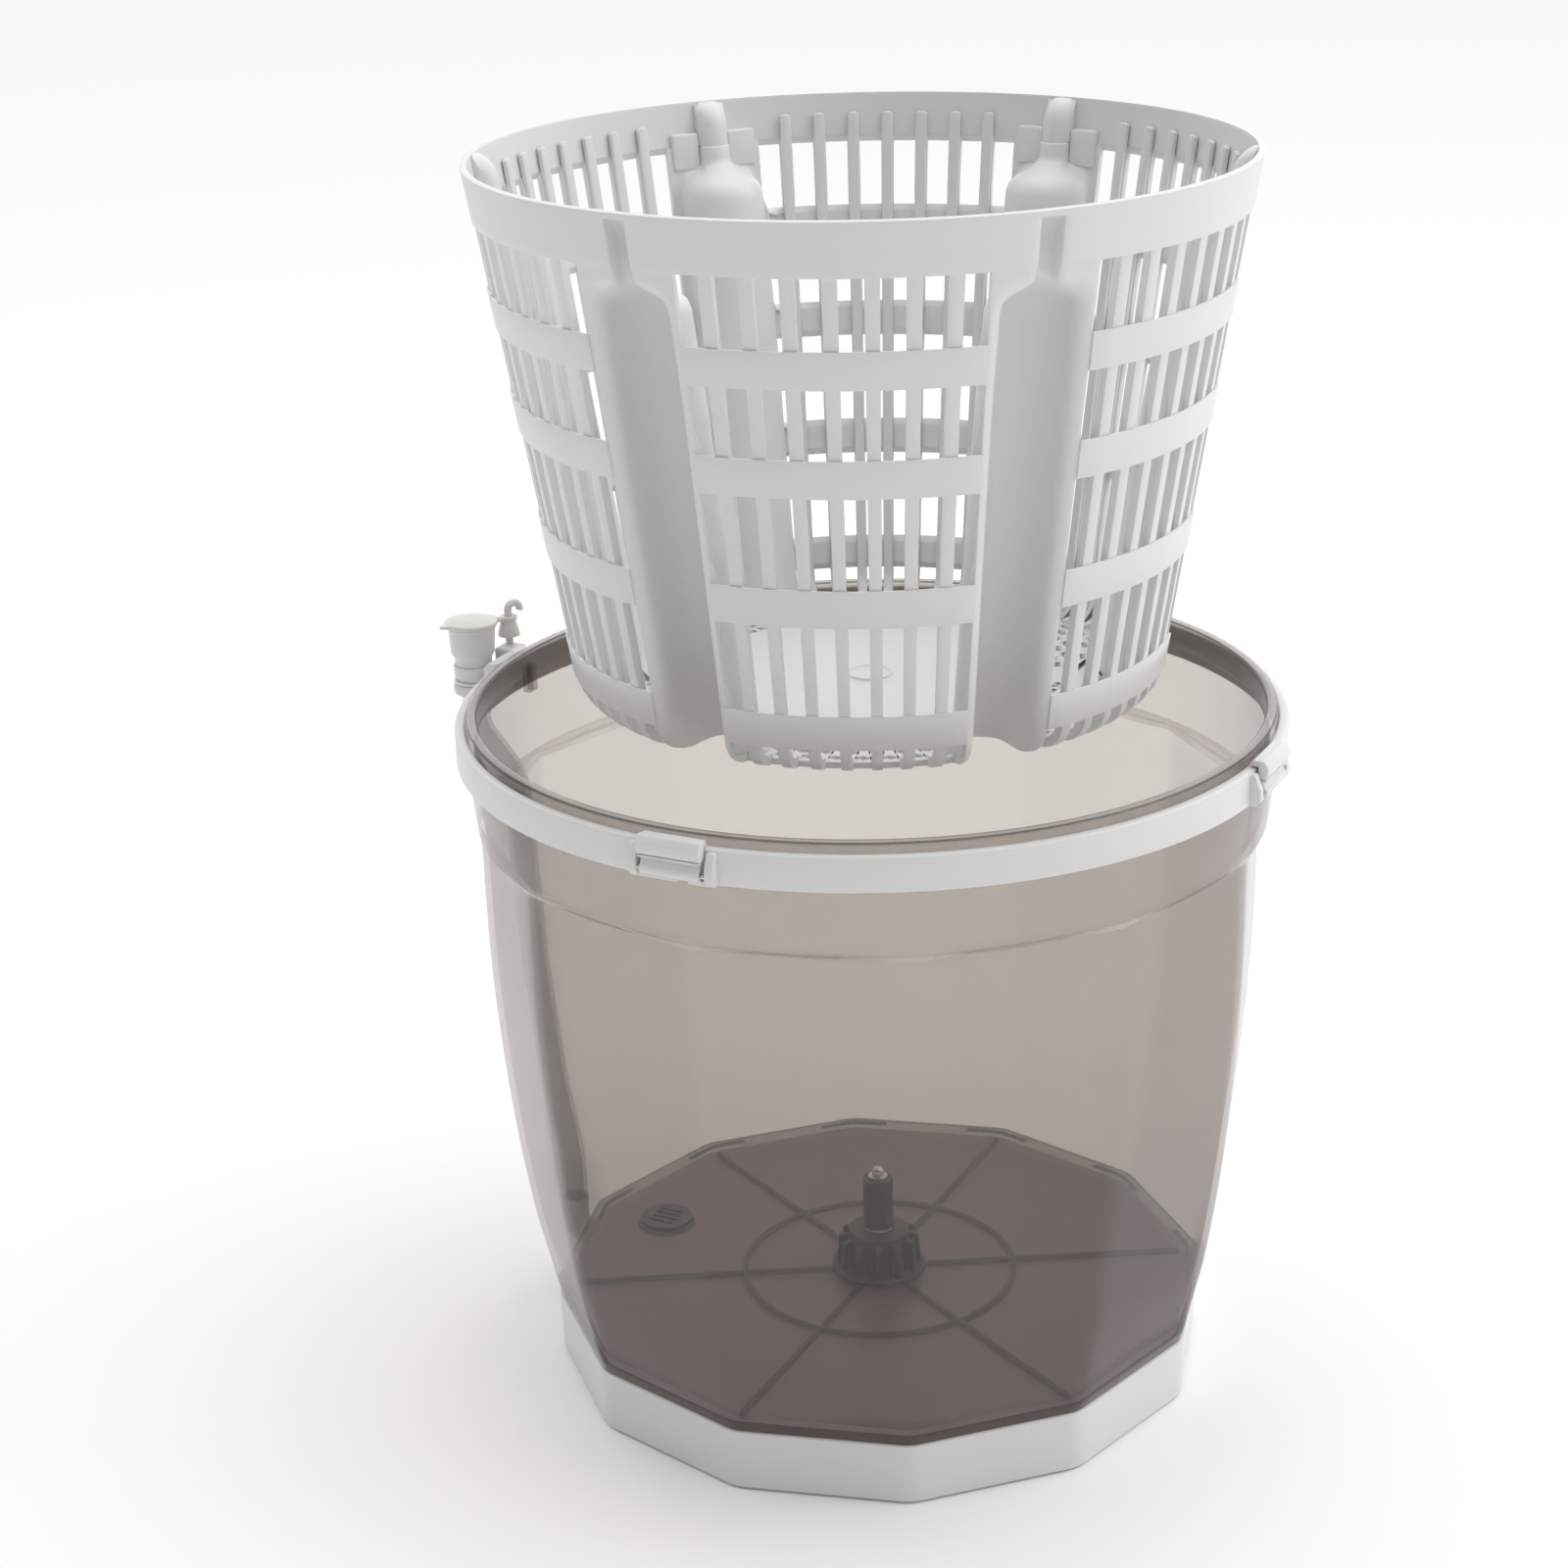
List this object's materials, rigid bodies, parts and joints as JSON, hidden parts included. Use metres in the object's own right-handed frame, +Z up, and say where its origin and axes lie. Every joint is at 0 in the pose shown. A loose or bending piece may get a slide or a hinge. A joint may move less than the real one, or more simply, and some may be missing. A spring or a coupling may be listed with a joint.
{
  "type": "salad spinner",
  "caption": "Tub spinner for salad: smoked tub on a white base, lift-out slotted basket that turns on a post, rim latches, and a side drain hose with a capped spout.",
  "frame": {"origin": "middle of the base, on the surface it stands on", "axes": "+Z up along the post that the basket turns on; -Y is the front"},
  "size_m": [0.3532, 0.3384, 0.5156],
  "materials": {
    "smoked_plastic": "clear smoked plastic, glossy",
    "white_plastic": "satin moulded white",
    "ivory_plastic": "soft ivory",
    "dark_plastic": "dark moulded nylon",
    "steel": "bright stainless",
    "rubber": "black rubber",
    "hose": "flexible white hose"
  },
  "bodies": {
    "root": {"tub": "smoked_plastic", "base_skirt": "white_plastic", "base_plate": "white_plastic", "base_screws": "steel", "rubber_feet": "rubber", "rim_band": "white_plastic", "latch_pins": "steel", "centre_boss": "dark_plastic", "boss_screws": "steel", "steel_post": "steel", "thrust_washer": "white_plastic", "retaining_ring": "steel", "drain_strainer": "dark_plastic", "drain_seal": "rubber", "drain_outlet": "white_plastic", "pipe_grommet": "rubber", "drain_elbow": "white_plastic", "drain_hose": "hose", "spout_collar": "ivory_plastic", "drain_spout": "white_plastic", "spout_bracket": "white_plastic", "cap_strap": "ivory_plastic"},
    "rotor": {"drive_sleeve": "dark_plastic"},
    "basket_body": {"basket": "white_plastic", "basket_bush": "white_plastic"},
    "latch_front_body": {"latch_front": "white_plastic"},
    "latch_right_body": {"latch_right": "white_plastic"},
    "latch_rear_body": {"latch_rear": "white_plastic"},
    "cap_body": {"drain_cap": "ivory_plastic"}
  },
  "joints": [
    {"name": "basket_spin", "type": "hinge", "parent": "root", "child": "rotor", "pos_m": [0, 0, 0.06], "axis": [0, 0, 1], "continuous": true},
    {"name": "basket_lift", "type": "slide", "parent": "rotor", "child": "basket_body", "axis": [0, 0, 1], "range_m": [-0.222, 0.06]},
    {"name": "latch_front_swing", "type": "hinge", "parent": "root", "child": "latch_front_body", "pos_m": [-0.07352, -0.15483, 0.2808], "axis": [0.9033, -0.4289, 0], "range_deg": [0, 70]},
    {"name": "latch_right_swing", "type": "hinge", "parent": "root", "child": "latch_right_body", "pos_m": [0.15483, -0.07352, 0.2808], "axis": [0.4289, 0.9033, 0], "range_deg": [0, 70]},
    {"name": "latch_rear_swing", "type": "hinge", "parent": "root", "child": "latch_rear_body", "pos_m": [0.07352, 0.15483, 0.2808], "axis": [-0.9033, 0.4289, 0], "range_deg": [0, 70]},
    {"name": "cap_flip", "type": "hinge", "parent": "root", "child": "cap_body", "pos_m": [-0.16094, 0.08504, 0.3041], "axis": [-0.5558, 0.8313, 0], "range_deg": [0, 80]}
  ]
}
